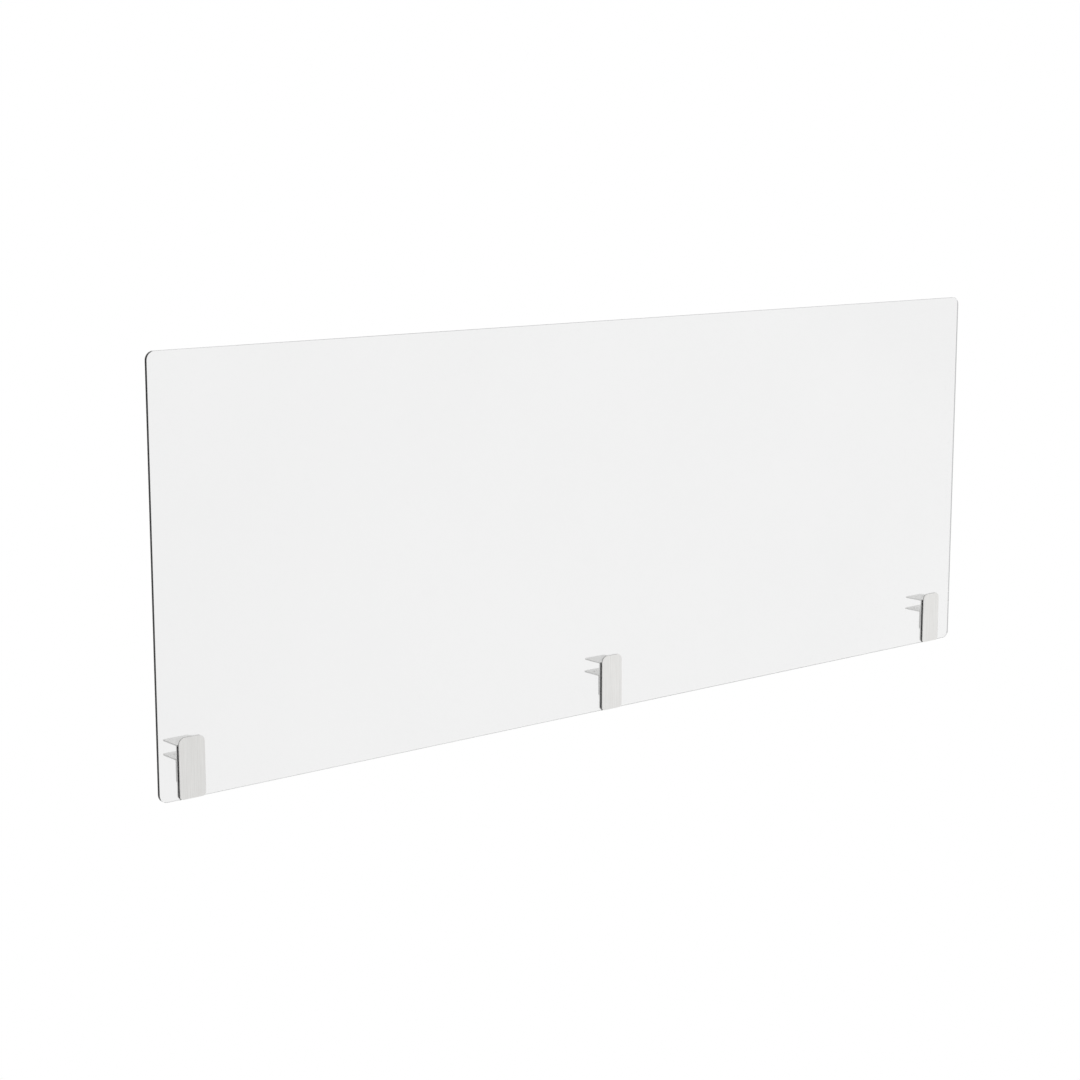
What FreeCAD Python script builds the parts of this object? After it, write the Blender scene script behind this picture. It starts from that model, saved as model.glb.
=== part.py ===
import FreeCAD, Part
import math
import os

import Sketcher

# Clamp-on desk screen: a clear acrylic panel held at its foot by three identical steel clamp brackets.
#
# Frame, in millimetres: +X runs along the screen, +Y runs from the screen in over the desk, +Z is up.
# The origin is the middle of the underside of the centre bracket's top flange, where it rests on the
# desktop, so z = 0 is the desktop's upper surface.

DIMENSIONS = {
    # acrylic panel
    "panel_width": 1600,
    "panel_height": 600,
    "panel_gauge": 5,
    "panel_corner": 12,
    "panel_arris": 0.1,
    "panel_drop": 73.5,  # desktop surface down to the panel's lower edge
    # bracket layout and the sheet metal
    "bracket_pitch": 750,
    "bracket_width": 40,
    "foot_corner": 5,
    "plate_height": 85,
    "plate_gauge": 1.5,
    "plate_corner": 10,
    "plate_edge": 0.3,
    "gasket_gauge": 0.5,
    "jaw_gauge": 2,
    "bend_inner": 1,
    "flange_corner": 3,
    "seat_reach": 35,  # desk edge to the top flange's tip
    # sliding lower jaw
    "desk_gap": 18,
    "jaw_travel": 18,
    "slide_gap": 0.3,
    "lower_leg": 33,
    "lower_reach": 34,
    "slot_width": 5.6,
    "wood_hole": 5,
    "wood_hole_spacing": 18,
    "wood_hole_setback": 20,
    # fixing screws and the sleeve nuts that pass through the panel
    "fixing_high": 9,  # below the desktop surface
    "fixing_spacing": 53,
    "sleeve_size": 8,
    "sleeve_hole": 9,
    "sleeve_short": 0.1,
    "sleeve_bore": 4.1,
    "sleeve_floor": 0.7,
    "sleeve_chamfer": 0.3,
    "screw_size": 4,
    "screw_length": 6,
    "screw_head": 7.5,
    "screw_sink": 0.1,
    "screw_hole": 4.3,
    "countersink": 7.8,
    "hex_socket": 2.5,
    "hex_depth": 1.3,
    # clamp studs, washers and nuts
    "stud_size": 5,
    "stud_spacing": 20,
    "stud_drop": 45.5,  # below the desktop surface
    "stud_hole": 5.1,
    "stud_head": 8,
    "stud_head_hole": 8.1,
    "stud_head_gauge": 1,
    "stud_tail": 1.2,
    "thread_chamfer": 0.6,
    "washer_size": 10,
    "washer_hole": 5.3,
    "washer_gauge": 1,
    "washer_gap": 0.3,
    "nut_flats": 8,
    "nut_height": 4,
    "nut_bore": 5.1,
    "nut_chamfer": 0.5,
}

# Planes of the stack from front to back, as expressions on the sheet of dimensions.
LEG_REAR = "-Dims.seat_reach / 2"
LEG_FRONT = f"{LEG_REAR} - Dims.jaw_gauge"
PANEL_REAR = f"{LEG_FRONT} - Dims.gasket_gauge"
PANEL_FRONT = f"{PANEL_REAR} - Dims.panel_gauge"
PLATE_REAR = f"{PANEL_FRONT} - Dims.gasket_gauge"
SLEEVE_REAR = f"{LEG_FRONT} - Dims.sleeve_short"
LOWER_LEG_REAR = f"{LEG_REAR} + Dims.slide_gap + Dims.jaw_gauge"
WASHER_FRONT = f"{LOWER_LEG_REAR} + Dims.washer_gap"
NUT_FRONT = f"{WASHER_FRONT} + Dims.washer_gauge"
PANEL_FOOT = "-Dims.panel_drop"
LOWER_UNDERSIDE = "-Dims.desk_gap - Dims.jaw_gauge"

FIXING_DROPS = ("Dims.fixing_high", "Dims.fixing_high + Dims.fixing_spacing")
HALF_WIDTH = "Dims.bracket_width / 2"
HALF_STUDS = "Dims.stud_spacing / 2"

BRACKETS = {
    "left": "-Dims.bracket_pitch",
    "centre": "0",
    "right": "Dims.bracket_pitch",
}

TOUCH = 1e-4


def fill_sheet(doc):
    """Writes the driving dimensions into the document's sheet, one aliased cell each."""
    sheet = doc.addObject("Spreadsheet::Sheet", "Dims")
    for row, (alias, value) in enumerate(DIMENSIONS.items(), 1):
        sheet.set(f"A{row}", alias)
        sheet.set(f"B{row}", str(value))
        sheet.setAlias(f"B{row}", alias)
    doc.recompute()


def new_body(doc, label, x, y, z):
    """An empty body whose placement follows three expressions on the sheet."""
    body = doc.addObject("PartDesign::Body", label)
    body.Label = label
    body.AllowCompound = True
    for axis, expression in zip("xyz", (x, y, z)):
        body.setExpression(f"Placement.Base.{axis}", expression)
    return body


def origin_item(body, role):
    return next(item for item in body.Origin.OriginFeatures if item.Role == role)


def new_sketch(body, name, role, offset="0"):
    """A sketch on one of the body's origin planes, moved along the plane's normal by an expression."""
    sketch = body.newObject("Sketcher::SketchObject", name)
    sketch.AttachmentSupport = [(origin_item(body, role), "")]
    sketch.MapMode = "FlatFace"
    sketch.setExpression("AttachmentOffset.Base.z", offset)
    return sketch


def value_of(sketch, expression):
    return float(sketch.evalExpression(expression))


def bind(sketch, kind, geometry, *place, to):
    """Adds one dimension to a sketch and ties it to an expression."""
    constraint = Sketcher.Constraint(kind, geometry, *place, value_of(sketch, to))
    index = sketch.addConstraint(constraint)
    sketch.setExpression(f"Constraints[{index}]", to)


def draw_outline(sketch, corners):
    """A closed outline of straight lines through corners given as pairs of expressions."""
    points = [FreeCAD.Vector(value_of(sketch, x), value_of(sketch, y), 0) for x, y in corners]
    first = sketch.GeometryCount
    count = len(points)
    for n, point in enumerate(points):
        sketch.addGeometry(Part.LineSegment(point, points[(n + 1) % count]), False)
    for n, (x, y) in enumerate(corners):
        line = first + n
        sketch.addConstraint(Sketcher.Constraint("Coincident", line, 2, first + (n + 1) % count, 1))
        bind(sketch, "DistanceX", line, 1, to=x)
        bind(sketch, "DistanceY", line, 1, to=y)


def draw_hexagon(sketch, flats):
    """A hexagon about the sketch's origin, from its width across flats."""
    corners = []
    for n in range(6):
        corners.append((f"{flats} / sqrt(3) * cos({60 * n})", f"{flats} / sqrt(3) * sin({60 * n})"))
    draw_outline(sketch, corners)


def draw_circle(sketch, x, y, diameter):
    centre = FreeCAD.Vector(value_of(sketch, x), value_of(sketch, y), 0)
    radius = value_of(sketch, diameter) / 2
    up = FreeCAD.Vector(0, 0, 1)
    circle = sketch.addGeometry(Part.Circle(centre, up, radius), False)
    bind(sketch, "DistanceX", circle, 3, to=x)
    bind(sketch, "DistanceY", circle, 3, to=y)
    bind(sketch, "Diameter", circle, to=diameter)


def draw_upright_slot(sketch, x, low, high, width):
    """A slot with round ends whose end centres stand at low and high on the line through x."""
    centres = [FreeCAD.Vector(value_of(sketch, x), value_of(sketch, end), 0) for end in (low, high)]
    radius = value_of(sketch, width) / 2
    up = FreeCAD.Vector(0, 0, 1)
    side = FreeCAD.Vector(radius, 0, 0)
    bottom = Part.ArcOfCircle(Part.Circle(centres[0], up, radius), math.pi, 2 * math.pi)
    top = Part.ArcOfCircle(Part.Circle(centres[1], up, radius), 0, math.pi)
    right = Part.LineSegment(centres[0] + side, centres[1] + side)
    left = Part.LineSegment(centres[1] - side, centres[0] - side)
    first = sketch.GeometryCount
    sketch.addGeometry([bottom, right, top, left], False)
    for n in range(4):
        joint = Sketcher.Constraint("Tangent", first + n, 2, first + (n + 1) % 4, 1)
        sketch.addConstraint(joint)
    sketch.addConstraint(Sketcher.Constraint("Equal", first, first + 2))
    for arc, end in ((first, low), (first + 2, high)):
        bind(sketch, "DistanceX", arc, 3, to=x)
        bind(sketch, "DistanceY", arc, 3, to=end)
    bind(sketch, "Diameter", first, to=width)


def pad(body, sketch, length, midplane=False):
    """Thickens a sketch along its plane's normal."""
    feature = body.newObject("PartDesign::Pad", "Pad")
    feature.Profile = sketch
    feature.SideType = "Symmetric" if midplane else "One side"
    feature.setExpression("Length", length)
    body.Document.recompute()
    return feature


def check_cut(body, feature, volume_before):
    body.Document.recompute()
    if not feature.Shape.Volume < volume_before - TOUCH:
        raise RuntimeError(f"{body.Label}: {feature.Name} cuts nothing")
    return feature


def pocket(body, sketch, depth=None, reverse=False):
    """Cuts a sketch into the body to a depth, or right through it both ways when no depth is given."""
    volume = body.Shape.Volume
    feature = body.newObject("PartDesign::Pocket", "Pocket")
    feature.Profile = sketch
    feature.Reversed = reverse
    if depth is None:
        feature.SideType = "Symmetric"
        feature.Type = "ThroughAll"
    else:
        feature.setExpression("Length", depth)
    return check_cut(body, feature, volume)


def turn(body, sketch):
    """Turns a half section drawn on the XY plane about the body's Y axis."""
    feature = body.newObject("PartDesign::Revolution", "Revolution")
    feature.Profile = sketch
    feature.ReferenceAxis = (sketch, ["V_Axis"])
    body.Document.recompute()
    return feature


def dress(body, kind, size_name, size, is_wanted):
    """Rounds or chamfers the edges that a test picks out."""
    base = body.Tip
    names = [f"Edge{n}" for n, edge in enumerate(base.Shape.Edges, 1) if is_wanted(edge.BoundBox)]
    feature = body.newObject(f"PartDesign::{kind}", kind)
    feature.Base = (base, names)
    feature.setExpression(size_name, size)
    body.Document.recompute()
    return feature


def fillet(body, radius, is_wanted):
    return dress(body, "Fillet", "Radius", radius, is_wanted)


def chamfer(body, size, is_wanted):
    return dress(body, "Chamfer", "Size", size, is_wanted)


def is_flat(box, *axes):
    """True where an edge's box has no extent along the named axes."""
    return all(getattr(box, f"{axis}Length") < TOUCH for axis in axes)


def is_low_corner(box):
    """True for an edge that runs along Y at the level of the body's foot."""
    return is_flat(box, "X", "Z") and box.ZMin < TOUCH


def is_high_corner(box):
    """True for an edge that runs along Y above the body's foot."""
    return is_flat(box, "X", "Z") and box.ZMin > TOUCH


def pair_along(body, role, spacing, features):
    """Repeats the features once more along an origin axis."""
    pattern = body.newObject("PartDesign::LinearPattern", "Pair")
    pattern.Originals = features
    pattern.Direction = (origin_item(body, role), [""])
    pattern.Occurrences = 2
    pattern.setExpression("Length", spacing)
    body.Tip = pattern
    body.Document.recompute()
    return pattern


def draw_sleeve_holes(sketch, x):
    """The two holes that clear one bracket's sleeve nuts, measured from the panel's lower edge."""
    for drop in FIXING_DROPS:
        draw_circle(sketch, x, f"Dims.panel_drop - ({drop})", "Dims.sleeve_hole")


def make_panel(doc):
    """The acrylic panel: round corners, a fine arris on every edge, two sleeve holes per bracket."""
    body = new_body(doc, "clear_panel", "0", PANEL_REAR, PANEL_FOOT)
    half = "Dims.panel_width / 2"
    outline = new_sketch(body, "PanelOutline", "XZ_Plane")
    draw_outline(
        outline,
        [(f"-{half}", "0"), (half, "0"), (half, "Dims.panel_height"), (f"-{half}", "Dims.panel_height")],
    )
    pad(body, outline, "Dims.panel_gauge")
    fillet(body, "Dims.panel_corner", lambda box: is_flat(box, "X", "Z"))
    chamfer(body, "Dims.panel_arris", lambda box: is_flat(box, "Y"))
    holes = new_sketch(body, "SleeveHoles", "XZ_Plane")
    for x in BRACKETS.values():
        draw_sleeve_holes(holes, x)
    pocket(body, holes)


def make_upright_strip(doc, label, x, rear, height, gauge):
    """A flat strip as wide as the bracket that stands level with the panel's lower edge."""
    body = new_body(doc, label, x, rear, PANEL_FOOT)
    outline = new_sketch(body, "StripOutline", "XZ_Plane")
    draw_outline(
        outline,
        [(f"-{HALF_WIDTH}", "0"), (HALF_WIDTH, "0"), (HALF_WIDTH, height), (f"-{HALF_WIDTH}", height)],
    )
    pad(body, outline, gauge)
    fillet(body, "Dims.foot_corner", is_low_corner)
    return body


def cut_sleeve_holes(body):
    holes = new_sketch(body, "SleeveHoles", "XZ_Plane")
    draw_sleeve_holes(holes, "0")
    pocket(body, holes)


def make_front_plate(doc, side, x):
    """The plain face plate in front of the panel, with softened front edges."""
    label = f"{side}_front_plate"
    body = make_upright_strip(doc, label, x, PLATE_REAR, "Dims.plate_height", "Dims.plate_gauge")
    fillet(body, "Dims.plate_corner", is_high_corner)

    def is_front_edge(box):
        return is_flat(box, "Y") and box.YMin < -TOUCH

    fillet(body, "Dims.plate_edge", is_front_edge)


def make_front_gasket(doc, side, x):
    """The thin rubber between the face plate and the panel, cut to the plate's outline."""
    label = f"{side}_front_gasket"
    body = make_upright_strip(doc, label, x, PANEL_FRONT, "Dims.plate_height", "Dims.gasket_gauge")
    fillet(body, "Dims.plate_corner", is_high_corner)
    cut_sleeve_holes(body)


def make_rear_gasket(doc, side, x):
    """The thin rubber between the panel and the flat of the upper jaw's leg."""
    label = f"{side}_rear_gasket"
    height = "Dims.panel_drop - Dims.bend_inner"
    body = make_upright_strip(doc, label, x, LEG_FRONT, height, "Dims.gasket_gauge")
    cut_sleeve_holes(body)


def make_bent_jaw(doc, label, x, y, z, leg, reach):
    """An L bent from sheet, about the inner corner of its bend: a leg hangs down, a flange runs back."""
    body = new_body(doc, label, x, y, z)
    profile = new_sketch(body, "BentProfile", "YZ_Plane")
    gauge = "Dims.jaw_gauge"
    foot = f"-({leg})"
    draw_outline(
        profile,
        [(f"-{gauge}", foot), ("0", foot), ("0", "0"), (reach, "0"), (reach, gauge), (f"-{gauge}", gauge)],
    )
    pad(body, profile, "Dims.bracket_width", midplane=True)

    def is_inner_bend(box):
        return is_flat(box, "Y", "Z") and abs(box.YMin) < TOUCH and abs(box.ZMin) < TOUCH

    def is_outer_bend(box):
        return is_flat(box, "Y", "Z") and box.YMax < -TOUCH and box.ZMin > TOUCH

    def is_foot_corner(box):
        return is_flat(box, "X", "Z") and box.ZMax < -DIMENSIONS["bend_inner"] - TOUCH

    def is_tip_corner(box):
        return is_flat(box, "X", "Y") and box.YMin > DIMENSIONS["bend_inner"] + TOUCH

    fillet(body, "Dims.bend_inner", is_inner_bend)
    fillet(body, "Dims.bend_inner + Dims.jaw_gauge", is_outer_bend)
    fillet(body, "Dims.foot_corner", is_foot_corner)
    fillet(body, "Dims.flange_corner", is_tip_corner)
    return body


def make_upper_jaw(doc, side, x):
    """The fixed jaw: countersunk from behind for the fixing screws, counterbored in front for the studs."""
    leg = "Dims.panel_drop"
    body = make_bent_jaw(doc, f"{side}_upper_jaw", x, LEG_REAR, "0", leg, "Dims.seat_reach")

    screw_holes = new_sketch(body, "ScrewHoles", "XZ_Plane")
    for drop in FIXING_DROPS:
        draw_circle(screw_holes, "0", f"-({drop})", "Dims.screw_hole")
    pocket(body, screw_holes)

    def is_rear_rim(box):
        is_round = abs(box.XLength - DIMENSIONS["screw_hole"]) < TOUCH
        return is_flat(box, "Y") and box.YMin > -TOUCH and is_round

    chamfer(body, "(Dims.countersink - Dims.screw_hole) / 2", is_rear_rim)

    stud_holes = new_sketch(body, "StudHoles", "XZ_Plane")
    for across in (f"-{HALF_STUDS}", HALF_STUDS):
        draw_circle(stud_holes, across, "-Dims.stud_drop", "Dims.stud_hole")
    pocket(body, stud_holes)
    head_holes = new_sketch(body, "StudHeadHoles", "XZ_Plane", "Dims.jaw_gauge")
    for across in (f"-{HALF_STUDS}", HALF_STUDS):
        draw_circle(head_holes, across, "-Dims.stud_drop", "Dims.stud_head_hole")
    pocket(body, head_holes, "Dims.stud_head_gauge")


def make_lower_jaw(doc, side, x):
    """The sliding jaw: two upright slots for the studs, two round holes for screws into the desk."""
    label = f"{side}_lower_jaw"
    body = make_bent_jaw(doc, label, x, LOWER_LEG_REAR, LOWER_UNDERSIDE, "Dims.lower_leg", "Dims.lower_reach")

    slots = new_sketch(body, "StudSlots", "XZ_Plane")
    low = f"-Dims.stud_drop - ({LOWER_UNDERSIDE})"
    high = f"{low} + Dims.jaw_travel"
    for across in (f"-{HALF_STUDS}", HALF_STUDS):
        draw_upright_slot(slots, across, low, high, "Dims.slot_width")
    pocket(body, slots)

    holes = new_sketch(body, "WoodScrewHoles", "XY_Plane")
    half = "Dims.wood_hole_spacing / 2"
    for across in (f"-{half}", half):
        draw_circle(holes, across, "Dims.wood_hole_setback", "Dims.wood_hole")
    pocket(body, holes)


def make_sleeve_nuts(doc, side, x):
    """Two blind barrels on the plate's back that reach through gasket, panel and gasket."""
    body = new_body(doc, f"{side}_sleeve_nuts", x, SLEEVE_REAR, f"-({FIXING_DROPS[1]})")
    outer = "Dims.sleeve_size / 2"
    bore = "Dims.sleeve_bore / 2"
    edge = "Dims.sleeve_chamfer"
    length = f"({SLEEVE_REAR}) - ({PLATE_REAR})"
    section = new_sketch(body, "SleeveSection", "XY_Plane")
    draw_outline(
        section,
        [
            ("0", f"-({length})"),
            (outer, f"-({length})"),
            (outer, f"-{edge}"),
            (f"{outer} - {edge}", "0"),
            (bore, "0"),
            (bore, f"Dims.sleeve_floor - ({length})"),
            ("0", f"Dims.sleeve_floor - ({length})"),
        ],
    )
    barrel = turn(body, section)
    pair_along(body, "Z_Axis", "Dims.fixing_spacing", [barrel])


def make_fixing_screws(doc, side, x):
    """Two countersunk screws with hexagon sockets, heads just below the leg's rear face."""
    head_face = f"{LEG_REAR} - Dims.screw_sink"
    body = new_body(doc, f"{side}_fixing_screws", x, head_face, f"-({FIXING_DROPS[1]})")
    head = "Dims.screw_head / 2"
    shank = "Dims.screw_size / 2"
    tip = "Dims.thread_chamfer"
    section = new_sketch(body, "ScrewSection", "XY_Plane")
    draw_outline(
        section,
        [
            ("0", "-Dims.screw_length"),
            (f"{shank} - {tip}", "-Dims.screw_length"),
            (shank, f"{tip} - Dims.screw_length"),
            (shank, f"{shank} - {head}"),
            (head, "0"),
            ("0", "0"),
        ],
    )
    screw = turn(body, section)
    socket = new_sketch(body, "HexSocket", "XZ_Plane")
    draw_hexagon(socket, "Dims.hex_socket")
    recess = pocket(body, socket, "Dims.hex_depth", reverse=True)
    pair_along(body, "Z_Axis", "Dims.fixing_spacing", [screw, recess])


def new_stud_line_body(doc, side, name, x, y):
    """A body about the left clamp stud's axis."""
    return new_body(doc, f"{side}_{name}", f"{x} - {HALF_STUDS}", y, "-Dims.stud_drop")


def make_clamp_studs(doc, side, x):
    """Two studs pressed in from the front of the upper jaw's leg, their threads pointing back."""
    body = new_stud_line_body(doc, side, "clamp_studs", x, LEG_FRONT)
    head = "Dims.stud_head / 2"
    shank = "Dims.stud_size / 2"
    tip = "Dims.thread_chamfer"
    length = f"({NUT_FRONT}) + Dims.nut_height + Dims.stud_tail - ({LEG_FRONT})"
    section = new_sketch(body, "StudSection", "XY_Plane")
    draw_outline(
        section,
        [
            ("0", "0"),
            (head, "0"),
            (head, "Dims.stud_head_gauge"),
            (shank, "Dims.stud_head_gauge"),
            (shank, f"{length} - {tip}"),
            (f"{shank} - {tip}", length),
            ("0", length),
        ],
    )
    stud = turn(body, section)
    pair_along(body, "X_Axis", "Dims.stud_spacing", [stud])


def make_clamp_washers(doc, side, x):
    """Two flat washers behind the sliding jaw's leg."""
    body = new_stud_line_body(doc, side, "clamp_washers", x, WASHER_FRONT)
    inner = "Dims.washer_hole / 2"
    outer = "Dims.washer_size / 2"
    gauge = "Dims.washer_gauge"
    section = new_sketch(body, "WasherSection", "XY_Plane")
    draw_outline(section, [(inner, "0"), (outer, "0"), (outer, gauge), (inner, gauge)])
    washer = turn(body, section)
    pair_along(body, "X_Axis", "Dims.stud_spacing", [washer])


def make_clamp_nuts(doc, side, x):
    """Two hexagon nuts with bored threads and chamfered corners."""
    body = new_stud_line_body(doc, side, "clamp_nuts", x, NUT_FRONT)
    height = "Dims.nut_height"
    outline = new_sketch(body, "NutOutline", "XZ_Plane", f"-{height}")
    draw_hexagon(outline, "Dims.nut_flats")
    prism = pad(body, outline, height)
    volume = body.Shape.Volume

    corner = "Dims.nut_flats / sqrt(3)"
    edge = "Dims.nut_chamfer"
    bore = "Dims.nut_bore / 2"
    near = f"{corner} - {edge}"
    past = f"{corner} + {edge}"
    section = new_sketch(body, "NutCuts", "XY_Plane")
    draw_outline(section, [("0", "0"), (bore, "0"), (bore, height), ("0", height)])
    draw_outline(section, [(near, "0"), (past, "0"), (past, edge)])
    draw_outline(section, [(near, height), (past, f"{height} - {edge}"), (past, height)])
    groove = body.newObject("PartDesign::Groove", "Groove")
    groove.Profile = section
    groove.ReferenceAxis = (section, ["V_Axis"])
    check_cut(body, groove, volume)
    pair_along(body, "X_Axis", "Dims.stud_spacing", [prism, groove])


BRACKET_PIECES = (
    make_front_plate,
    make_front_gasket,
    make_rear_gasket,
    make_upper_jaw,
    make_lower_jaw,
    make_sleeve_nuts,
    make_fixing_screws,
    make_clamp_studs,
    make_clamp_washers,
    make_clamp_nuts,
)


def check(doc):
    """Stops on any object that failed to compute and on any body without a sound shape."""
    for item in doc.Objects:
        if {"Invalid", "Error"} & set(item.State):
            raise RuntimeError(f"{item.Label} did not compute: {item.State}")
    for body in doc.findObjects("PartDesign::Body"):
        if body.Shape.isNull() or not body.Shape.isValid() or not body.Shape.Solids:
            raise RuntimeError(f"{body.Label} has no sound shape")


def export(doc):
    os.makedirs("parts", exist_ok=True)
    for body in doc.findObjects("PartDesign::Body"):
        body.Shape.exportStep(f"parts/{body.Label}.step")


def main():
    doc = FreeCAD.newDocument("desk_screen")
    fill_sheet(doc)
    make_panel(doc)
    for side, x in BRACKETS.items():
        for make_piece in BRACKET_PIECES:
            make_piece(doc, side, x)
    doc.recompute()
    check(doc)
    export(doc)


main()
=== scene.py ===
import math

import bpy
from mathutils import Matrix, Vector


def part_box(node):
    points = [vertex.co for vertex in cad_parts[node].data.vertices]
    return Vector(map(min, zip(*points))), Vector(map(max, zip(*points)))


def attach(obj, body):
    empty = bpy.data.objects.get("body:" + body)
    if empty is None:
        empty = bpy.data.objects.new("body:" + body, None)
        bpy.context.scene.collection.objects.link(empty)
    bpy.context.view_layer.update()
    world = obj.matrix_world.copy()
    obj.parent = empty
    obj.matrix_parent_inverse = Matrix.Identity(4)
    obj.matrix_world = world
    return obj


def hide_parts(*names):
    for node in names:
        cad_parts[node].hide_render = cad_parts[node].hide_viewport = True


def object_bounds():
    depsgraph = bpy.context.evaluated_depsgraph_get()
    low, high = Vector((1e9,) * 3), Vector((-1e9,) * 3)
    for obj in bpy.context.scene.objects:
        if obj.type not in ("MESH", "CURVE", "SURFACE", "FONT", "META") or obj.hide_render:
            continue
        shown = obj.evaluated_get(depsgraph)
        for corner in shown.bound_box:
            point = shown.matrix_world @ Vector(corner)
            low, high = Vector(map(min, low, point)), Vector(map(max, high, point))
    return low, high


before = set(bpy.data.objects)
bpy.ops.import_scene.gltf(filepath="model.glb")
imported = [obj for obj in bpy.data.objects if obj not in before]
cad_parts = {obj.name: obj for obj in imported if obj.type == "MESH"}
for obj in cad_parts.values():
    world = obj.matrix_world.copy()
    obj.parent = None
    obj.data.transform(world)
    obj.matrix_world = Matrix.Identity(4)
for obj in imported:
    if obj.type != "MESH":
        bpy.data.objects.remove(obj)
cad_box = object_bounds()

SIDES = ("left", "centre", "right")

# Camera: azimuth and elevation of the view, and how far it stands from the point that it looks at.
VIEW_AZIMUTH = math.radians(-40)
VIEW_ELEVATION = math.radians(10)
VIEW_DISTANCE = 3.344
VIEW_LENS = 75
VIEW_SENSOR = 36
# The point looked at lies on the panel's front face, given as shares of its width and height.
AIM_ACROSS = 0.4102
AIM_UP = 0.4685

# Soft cards of the studio that reflections see: direction, solid and faded half angles, and light added.
STUDIO_CARDS = (
    ((0.43, 0.37, 0.82), 88.5, 91, -0.16),  # the upper half is a little darker
    ((-0.61, 0.78, -0.14), 20, 45, -0.42),  # flag behind and to the left, which draws the panel's edges
    ((0.70, 0.72, 0.02), 8, 14, -0.27),  # flag behind and to the right, which draws the top edge
    ((-0.80, -0.57, 0.15), 20, 50, 0.05),  # soft light from the front left
    ((-0.17, -0.97, -0.20), 15, 48, -0.34),  # shade of the camera's side
    ((0.90, -0.40, -0.10), 2, 48, 0.07),  # soft light from the front right
)
FLOOR_DROP = 0.74  # foot of the panel down to the floor
FLOOR_SIZE = 60

# Clamp studs: a round head, then an M5 thread up to a chamfered tail.
STUD_HEAD_GAUGE = 0.001
STUD_HEAD_ROUND = 0.00015
STUD_RADIUS = 0.0025
STUD_PLAIN = 0.0012  # shank under the head with no thread
STUD_CHAMFER = 0.0006
THREAD_PITCH = 0.0008
THREAD_DEPTH = 0.00049
THREAD_FLAT = 0.125  # share of a pitch that is flat at the crest and at the root
STUD_RING_GAP = 0.0001
STUD_SHOULDER = 1.0001  # where the shank starts, as a multiple of the head's gauge
STUD_FIRST_RING = 1.05  # the first evenly spaced ring lies beyond this multiple
STUD_SIDES = 48
SMOOTH_ANGLE = math.radians(40)

# Tints of the acrylic's faces, between clean sheet and a trace of haze.
FACE_TINT_CLEAN = (0.880, 0.880, 0.880, 1)
FACE_TINT_HAZY = (0.864, 0.865, 0.865, 1)
ACRYLIC_IOR = 1.49
HAZE_ROUGHNESS = 0.012
EDGE_ROUGHNESS = 0.02
EDGE_BUMP = 0.00002

# Light that crosses the sheet lengthways loses more, so the cut edges look darker than the faces. The edge
# tint is partly that loss and partly painted shade, darkening the edges the way the dim studio they reflect
# and refract does.
EDGE_LOSS_AND_SHADE_DARK = (0.46, 0.475, 0.47, 1)
EDGE_LOSS_AND_SHADE_LIGHT = (0.56, 0.575, 0.57, 1)

# Brushed sheet: tone, colour cast, and how the grain is stretched.
# The plates' grain is upright and the jaws' grain is level.
PLATE_TONE = 0.795
PLATE_CAST = (1, 0.993, 0.975)
PLATE_GRAIN = (1, 1, 0.02)
# The jaws are the same steel as the plates; their higher tone is painted light, lifting their top faces
# against the dimmer upper studio that they reflect.
JAW_TONE_WITH_PAINTED_LIGHT = 0.91
JAW_CAST = (1, 1, 0.99)
JAW_GRAIN = (0.02, 1, 1)
BRUSH_CONTRAST = 0.07
BRUSH_ANISOTROPY = 0.5
BRUSH_BUMP = 0.00003
BRUSH_BUMP_STRENGTH = 0.6

# Rounding that a deburred edge has: how wide it is, and how sharp an edge has to be to get it.
DEBURR_WIDTH = 0.0002
DEBURR_ANGLE = math.radians(35)
WELD_GAP = 0.00001


def panel_point(across, up):
    """A point on the panel's front face, as shares of its width and height."""
    low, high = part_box("clear_panel")
    return Vector((low.x + across * (high.x - low.x), low.y, low.z + up * (high.z - low.z)))


def add_camera():
    aim = panel_point(AIM_ACROSS, AIM_UP)
    level = math.cos(VIEW_ELEVATION)
    back = Vector((
        math.sin(VIEW_AZIMUTH) * level,
        -math.cos(VIEW_AZIMUTH) * level,
        math.sin(VIEW_ELEVATION),
    ))
    data = bpy.data.cameras.new("camera")
    data.lens = VIEW_LENS
    data.sensor_width = VIEW_SENSOR
    camera = bpy.data.objects.new("camera", data)
    camera.location = aim + back * VIEW_DISTANCE
    camera.rotation_euler = (math.pi / 2 - VIEW_ELEVATION, 0, VIEW_AZIMUTH)
    bpy.context.scene.collection.objects.link(camera)
    bpy.context.scene.camera = camera


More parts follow.
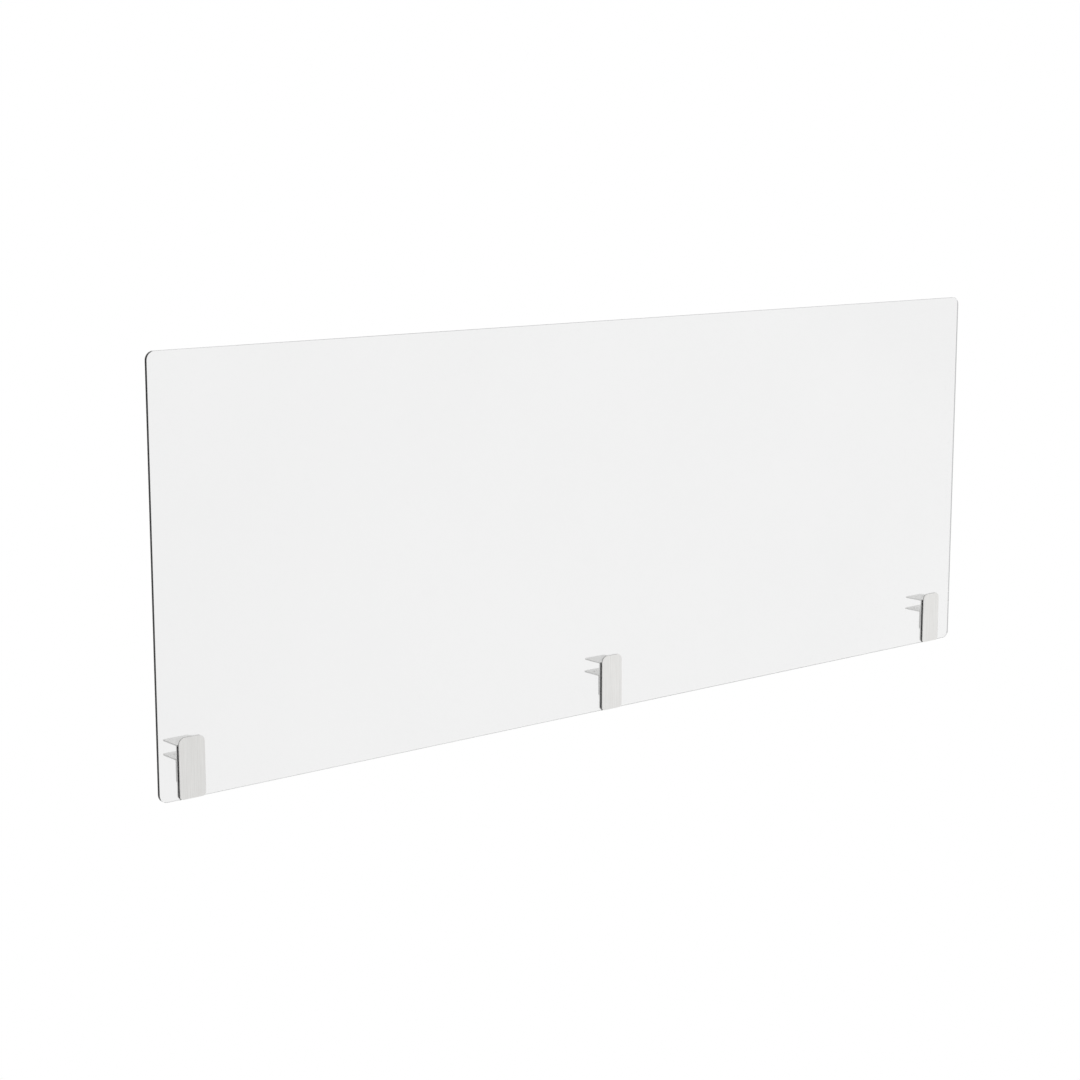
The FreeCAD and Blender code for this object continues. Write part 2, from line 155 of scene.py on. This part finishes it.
class Tree:
    """A short way to write a material's or world's nodes."""

    def __init__(self, owner):
        owner.use_nodes = True
        self.tree = owner.node_tree
        self.tree.nodes.clear()

    def node(self, kind, values=None, **settings):
        made = self.tree.nodes.new(kind)
        for name, value in settings.items():
            setattr(made, name, value)
        for name, value in (values or {}).items():
            self.put(made.inputs[name], value)
        return made

    def put(self, socket, value):
        if isinstance(value, bpy.types.NodeSocket):
            self.tree.links.new(value, socket)
        else:
            socket.default_value = value

    def place(self, scale=(1, 1, 1)):
        """The piece's own coordinates in metres, stretched by a scale."""
        coordinates = self.node("ShaderNodeTexCoord")
        mapping = self.node("ShaderNodeMapping", {"Vector": coordinates.outputs["Object"], "Scale": scale})
        return mapping.outputs["Vector"]

    def noise(self, scale, stretch=(1, 1, 1), detail=2.0, roughness=0.5, distortion=0.0):
        values = {
            "Vector": self.place(stretch),
            "Scale": scale,
            "Detail": detail,
            "Roughness": roughness,
            "Distortion": distortion,
        }
        return self.node("ShaderNodeTexNoise", values).outputs["Fac"]

    def spread(self, value, low, high, out_low, out_high):
        """Maps a value's range to another, held at its ends."""
        values = {"Value": value, "From Min": low, "From Max": high, "To Min": out_low, "To Max": out_high}
        return self.node("ShaderNodeMapRange", values).outputs["Result"]

    def maths(self, operation, a, b):
        made = self.node("ShaderNodeMath", operation=operation)
        self.put(made.inputs[0], a)
        self.put(made.inputs[1], b)
        return made.outputs[0]

    def blend(self, factor, a, b):
        made = self.node("ShaderNodeMix", data_type="RGBA")
        self.put(made.inputs["Factor"], factor)
        self.put(made.inputs["A"], a)
        self.put(made.inputs["B"], b)
        return made.outputs["Result"]

    def bump(self, height, distance, strength=1.0, normal=None):
        values = {"Height": height, "Distance": distance, "Strength": strength}
        if normal is not None:
            values["Normal"] = normal
        return self.node("ShaderNodeBump", values).outputs["Normal"]

    def finish(self, values):
        shader = self.node("ShaderNodeBsdfPrincipled", values)
        self.node("ShaderNodeOutputMaterial", {"Surface": shader.outputs[0]})


def grey(tone, cast=(1, 1, 1)):
    """An RGBA tone with a slight colour cast."""
    return (*(tone * share for share in cast), 1)


def acrylic_material():
    """Clear cast acrylic: clean faces with a trace of handling haze, finely milled and polished edges."""
    material = bpy.data.materials.new("acrylic_clear")
    t = Tree(material)
    normal = t.node("ShaderNodeTexCoord").outputs["Normal"]
    parts = t.node("ShaderNodeSeparateXYZ", {"Vector": normal})
    facing = t.maths("ABSOLUTE", parts.outputs["Y"], 0)
    is_edge = t.spread(facing, 0.5, 0.9, 1, 0)
    haze = t.noise(3, detail=4, roughness=0.6)
    face_rough = t.spread(haze, 0.45, 0.75, 0.0, HAZE_ROUGHNESS)
    cutter = t.noise(2200, stretch=(1, 0.05, 1), detail=1)
    rough = t.maths("ADD", face_rough, t.maths("MULTIPLY", is_edge, EDGE_ROUGHNESS))
    edge_height = t.maths("MULTIPLY", is_edge, cutter)
    face_tint = t.blend(t.spread(haze, 0.3, 0.8, 0, 1), FACE_TINT_CLEAN, FACE_TINT_HAZY)
    milled = t.noise(400, stretch=(0.2, 1, 0.2), detail=3)
    # Cut edges' tint: partly light lost lengthways in the sheet, partly painted shade for the dim studio that
    # the edges reflect and refract.
    edge_loss_and_shade = t.blend(milled, EDGE_LOSS_AND_SHADE_DARK, EDGE_LOSS_AND_SHADE_LIGHT)
    tint = t.blend(is_edge, face_tint, edge_loss_and_shade)
    t.finish({
        "Base Color": tint,
        "Roughness": rough,
        "IOR": ACRYLIC_IOR,
        "Transmission Weight": 1.0,
        "Normal": t.bump(edge_height, EDGE_BUMP),
    })
    return material


def brushed_material(name, tone, cast, stretch):
    """Satin stainless sheet brushed one way, with long hairline strokes of uneven depth."""
    material = bpy.data.materials.new(name)
    t = Tree(material)
    hairline = t.noise(2600, stretch=stretch, detail=3, roughness=0.7)
    stroke = t.noise(900, stretch=stretch, detail=2, roughness=0.6)
    cloud = t.noise(60, detail=2)
    shade = t.maths("ADD", t.maths("MULTIPLY", hairline, 0.4), t.maths("MULTIPLY", stroke, 0.6))
    dark = grey(tone * (1 - BRUSH_CONTRAST), cast)
    light = grey(tone * (1 + BRUSH_CONTRAST), cast)
    colour = t.blend(t.spread(shade, 0.35, 0.65, 0, 1), dark, light)
    rough = t.maths("ADD", t.spread(shade, 0.3, 0.7, 0.27, 0.38), t.spread(cloud, 0.3, 0.7, -0.02, 0.02))
    t.finish({
        "Base Color": colour,
        "Metallic": 1.0,
        "Roughness": rough,
        "Anisotropic": BRUSH_ANISOTROPY,
        "Normal": t.bump(shade, BRUSH_BUMP, BRUSH_BUMP_STRENGTH),
    })
    return material


def rubber_material():
    """Matte black rubber sheet with a fine grain, for the gaskets. Its near-black is partly painted shade,
    standing in for the shadow in the narrow gaps where plates and jaws meet the acrylic.
    """
    material = bpy.data.materials.new("rubber_and_gap_shade")
    t = Tree(material)
    grain = t.noise(1800, detail=3, roughness=0.6)
    wear = t.noise(90, detail=3)
    colour = t.blend(wear, grey(0.012), grey(0.03))
    t.finish({
        "Base Color": colour,
        "Roughness": t.spread(grain, 0.3, 0.7, 0.6, 0.85),
        "Normal": t.bump(grain, 0.00004),
    })
    return material


def zinc_material():
    """Bright zinc plate with a slightly blue, mottled cast."""
    material = bpy.data.materials.new("zinc_plate")
    t = Tree(material)
    mottle = t.noise(700, detail=4, roughness=0.65)
    cloud = t.noise(160, detail=2)
    colour = t.blend(t.spread(cloud, 0.3, 0.7, 0, 1), (0.60, 0.62, 0.65, 1), (0.70, 0.71, 0.72, 1))
    t.finish({
        "Base Color": colour,
        "Metallic": 1.0,
        "Roughness": t.spread(mottle, 0.3, 0.7, 0.22, 0.4),
        "Normal": t.bump(mottle, 0.00001),
    })
    return material


def paint(node, material):
    """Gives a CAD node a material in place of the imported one."""
    for material_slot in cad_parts[node].material_slots:
        material_slot.material = material


def deburr(node):
    """Rounds the sharp edges of a metal piece very slightly, so that they catch the light."""
    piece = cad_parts[node]
    weld = piece.modifiers.new("weld", "WELD")
    weld.merge_threshold = WELD_GAP
    bevel = piece.modifiers.new("deburr", "BEVEL")
    bevel.width = DEBURR_WIDTH
    bevel.segments = 2
    bevel.limit_method = "ANGLE"
    bevel.angle_limit = DEBURR_ANGLE
    bevel.use_clamp_overlap = True


def thread_radius(along, turn):
    """Radius of an M5 thread at a distance along the stud and a share of a turn."""
    wave = abs(2 * ((along / THREAD_PITCH - turn) % 1) - 1)
    rise = min(max((wave - THREAD_FLAT) / (1 - 2 * THREAD_FLAT), 0), 1)
    return STUD_RADIUS - THREAD_DEPTH * (1 - rise)


def stud_radius(along, length, head_radius, turn):
    """Radius of the stud at a distance along it from the face of its head."""
    if along <= STUD_HEAD_GAUGE:
        from_edge = min(along, STUD_HEAD_GAUGE - along)
        return head_radius - max(STUD_HEAD_ROUND - from_edge, 0)
    if along < STUD_HEAD_GAUGE + STUD_PLAIN:
        return STUD_RADIUS
    tail = STUD_RADIUS - max(STUD_CHAMFER - (length - along), 0)
    return min(thread_radius(along, turn), tail)


def stud_mesh(centres, front, length, head_radius):
    """One mesh of turned studs that point along +Y, with their heads at the front."""
    count = round(length / STUD_RING_GAP)
    stops = [0, STUD_HEAD_ROUND, STUD_HEAD_GAUGE - STUD_HEAD_ROUND, STUD_HEAD_GAUGE]
    stops.append(STUD_HEAD_GAUGE * STUD_SHOULDER)
    rings = [length * i / count for i in range(count + 1)]
    stops += [ring for ring in rings if ring > STUD_HEAD_GAUGE * STUD_FIRST_RING]
    points = []
    faces = []
    for across, up in centres:
        start = len(points)
        for along in stops:
            for i in range(STUD_SIDES):
                turn = i / STUD_SIDES
                angle = 2 * math.pi * turn
                radius = stud_radius(along, length, head_radius, turn)
                sideways = radius * math.cos(angle)
                upward = radius * math.sin(angle)
                points.append((across + sideways, front + along, up + upward))
        for ring in range(len(stops) - 1):
            near = start + ring * STUD_SIDES
            far = near + STUD_SIDES
            for i in range(STUD_SIDES):
                j = (i + 1) % STUD_SIDES
                faces.append((near + i, far + i, far + j, near + j))
        last = start + (len(stops) - 1) * STUD_SIDES
        faces.append(tuple(range(start, start + STUD_SIDES)))
        faces.append(tuple(reversed(range(last, last + STUD_SIDES))))
    mesh = bpy.data.meshes.new("threaded_studs")
    mesh.from_pydata(points, [], faces)
    mesh.shade_smooth()
    mesh.set_sharp_from_angle(angle=SMOOTH_ANGLE)
    return mesh


def add_threaded_studs(side, material):
    node = f"{side}_clamp_studs"
    low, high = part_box(node)
    head_radius = (high.z - low.z) / 2
    up = (low.z + high.z) / 2
    centres = ((low.x + head_radius, up), (high.x - head_radius, up))
    mesh = stud_mesh(centres, low.y, high.y - low.y, head_radius)
    mesh.materials.append(material)
    piece = bpy.data.objects.new(f"{side}_threaded_studs", mesh)
    bpy.context.scene.collection.objects.link(piece)
    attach(piece, "screen")
    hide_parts(node)


def add_floor():
    low = cad_box[0]
    half = FLOOR_SIZE / 2
    corners = [(-half, -half, 0), (half, -half, 0), (half, half, 0), (-half, half, 0)]
    mesh = bpy.data.meshes.new("floor")
    mesh.from_pydata(corners, [], [(0, 1, 2, 3)])
    floor = bpy.data.objects.new("floor", mesh)
    floor.location = (0, 0, min(low[2], 0) - FLOOR_DROP)
    material = bpy.data.materials.new("floor_white")
    t = Tree(material)
    glow = t.node("ShaderNodeEmission", {"Color": (1, 1, 1, 1), "Strength": 1.0})
    t.node("ShaderNodeOutputMaterial", {"Surface": glow.outputs[0]})
    mesh.materials.append(material)
    for kind in ("visible_diffuse", "visible_glossy", "visible_transmission", "visible_shadow"):
        setattr(floor, kind, False)
    bpy.context.scene.collection.objects.link(floor)


def card(t, towards, inner, outer, gain):
    """The light that a soft round card adds to the studio: its direction, its solid and faded half angles."""
    direction = t.node("ShaderNodeTexCoord").outputs["Generated"]
    dot = t.node("ShaderNodeVectorMath", operation="DOT_PRODUCT")
    t.put(dot.inputs[0], direction)
    t.put(dot.inputs[1], tuple(Vector(towards).normalized()))
    edge = (math.cos(math.radians(outer)), math.cos(math.radians(inner)))
    made = t.node("ShaderNodeMapRange", interpolation_type="SMOOTHSTEP")
    t.put(made.inputs["Value"], dot.outputs["Value"])
    for name, value in zip(("From Min", "From Max", "To Min", "To Max"), (*edge, 0, gain)):
        t.put(made.inputs[name], value)
    return made.outputs["Result"]


def add_world():
    """White all round, seen directly or straight through the acrylic.

    Reflections see a studio of soft cards instead.
    """
    world = bpy.data.worlds.new("studio")
    t = Tree(world)
    studio = 1.0
    for towards, inner, outer, gain in STUDIO_CARDS:
        studio = t.maths("ADD", card(t, towards, inner, outer, gain), studio)
    path = t.node("ShaderNodeLightPath").outputs
    unbent = t.maths("LESS_THAN", t.maths("ADD", path["Glossy Depth"], path["Diffuse Depth"]), 0.5)
    through = t.maths("MULTIPLY", path["Is Transmission Ray"], unbent)
    direct = t.maths("MAXIMUM", path["Is Camera Ray"], through)
    shade = t.node("ShaderNodeMix", data_type="FLOAT")
    t.put(shade.inputs["Factor"], direct)
    t.put(shade.inputs["A"], studio)
    t.put(shade.inputs["B"], 1.0)
    glow = t.node("ShaderNodeBackground", {"Color": (1, 1, 1, 1), "Strength": shade.outputs["Result"]})
    t.node("ShaderNodeOutputWorld", {"Surface": glow.outputs[0]})
    bpy.context.scene.world = world


def main():
    bpy.context.scene.view_settings.view_transform = "Standard"
    add_camera()
    add_world()
    add_floor()
    plate = brushed_material("plate_brushed", PLATE_TONE, PLATE_CAST, PLATE_GRAIN)
    # The jaws get a lighter copy of the plates' steel: painted light.
    jaw = brushed_material("jaw_brushed", JAW_TONE_WITH_PAINTED_LIGHT, JAW_CAST, JAW_GRAIN)
    rubber = rubber_material()
    zinc = zinc_material()
    paint("clear_panel", acrylic_material())
    for side in SIDES:
        paint(f"{side}_front_plate", plate)
        for part in ("upper_jaw", "lower_jaw"):
            paint(f"{side}_{part}", jaw)
        for part in ("front_gasket", "rear_gasket"):
            # Gaskets: black rubber whose darkness is partly painted shade of the gaps between plate, jaw and
            # acrylic.
            paint(f"{side}_{part}", rubber)
        for part in ("sleeve_nuts", "fixing_screws", "clamp_washers", "clamp_nuts"):
            paint(f"{side}_{part}", zinc)
        for part in ("upper_jaw", "lower_jaw", "clamp_washers", "clamp_nuts"):
            deburr(f"{side}_{part}")
        add_threaded_studs(side, zinc)


main()
